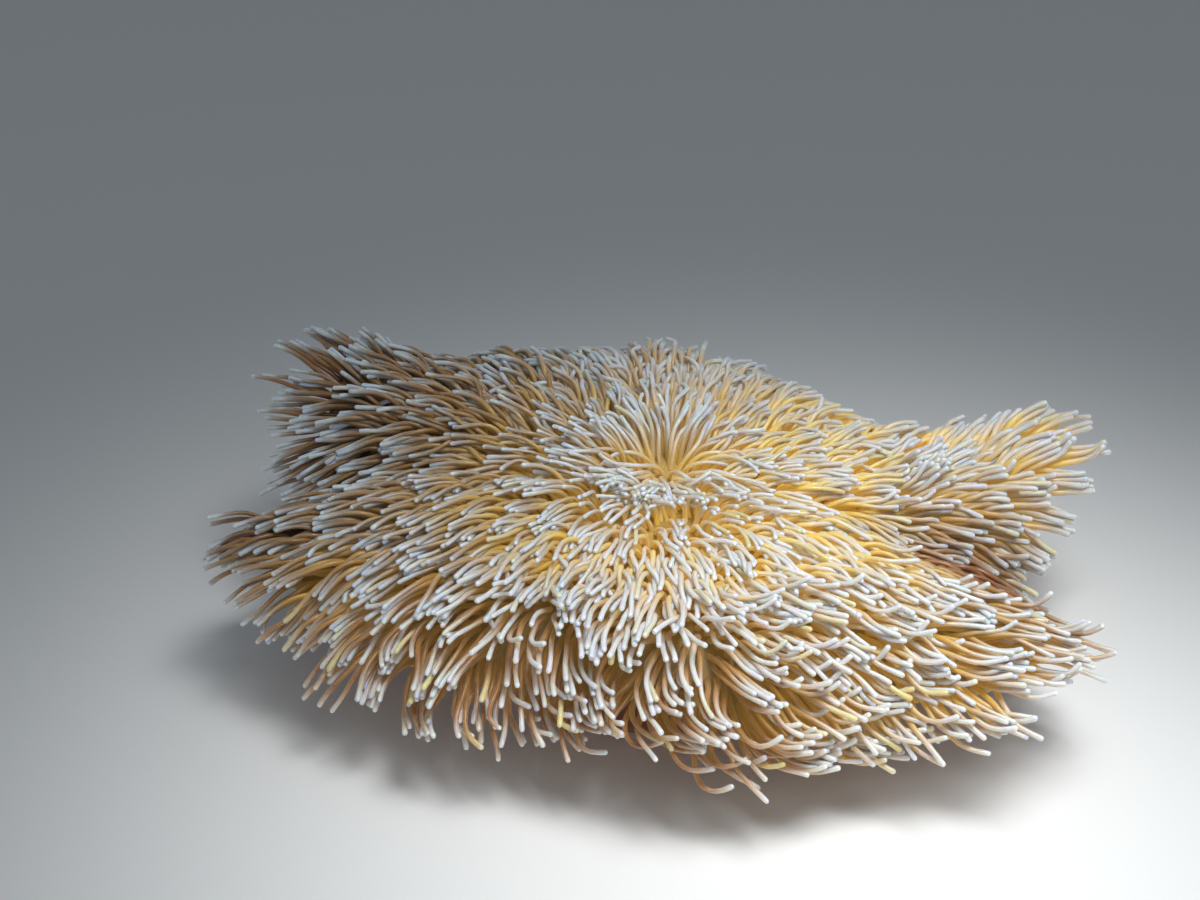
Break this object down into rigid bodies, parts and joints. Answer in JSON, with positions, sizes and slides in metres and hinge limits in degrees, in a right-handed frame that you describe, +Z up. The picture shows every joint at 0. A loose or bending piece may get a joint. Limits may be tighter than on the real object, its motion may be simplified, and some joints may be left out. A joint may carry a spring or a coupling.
{
  "type": "magnificent sea anemone",
  "caption": "Life-size still model of a sea anemone with a short column, a flat foot and a broad folded oral disc covered in long blunt tentacles.",
  "frame": {"origin": "middle of the underside of the foot, on the ground", "axes": "+Z up through the column to the mouth, +X towards the upturned fold of the disc, -Y towards the rolled front margin"},
  "size_m": [0.4901, 0.3596, 0.1557],
  "materials": {
    "tentacle_flesh": "wet translucent flesh, golden brown at the roots and pale lilac-white at the tips",
    "column_flesh": "wet leathery skin with rows of small pale warts",
    "mouth_flesh": "smooth wet lips"
  },
  "bodies": {
    "root": {"oral_disc_centre": "tentacle_flesh", "lobe_right_fold": "tentacle_flesh", "lobe_back_right": "tentacle_flesh", "lobe_back": "tentacle_flesh", "lobe_back_left": "tentacle_flesh", "lobe_left_tuft": "tentacle_flesh", "lobe_left": "tentacle_flesh", "lobe_front_left": "tentacle_flesh", "lobe_front": "tentacle_flesh", "lobe_front_right": "tentacle_flesh", "lobe_right_front": "tentacle_flesh", "pedal_disc": "column_flesh", "column_lower": "column_flesh", "column_upper": "column_flesh", "mouth": "mouth_flesh"}
  },
  "joints": []
}
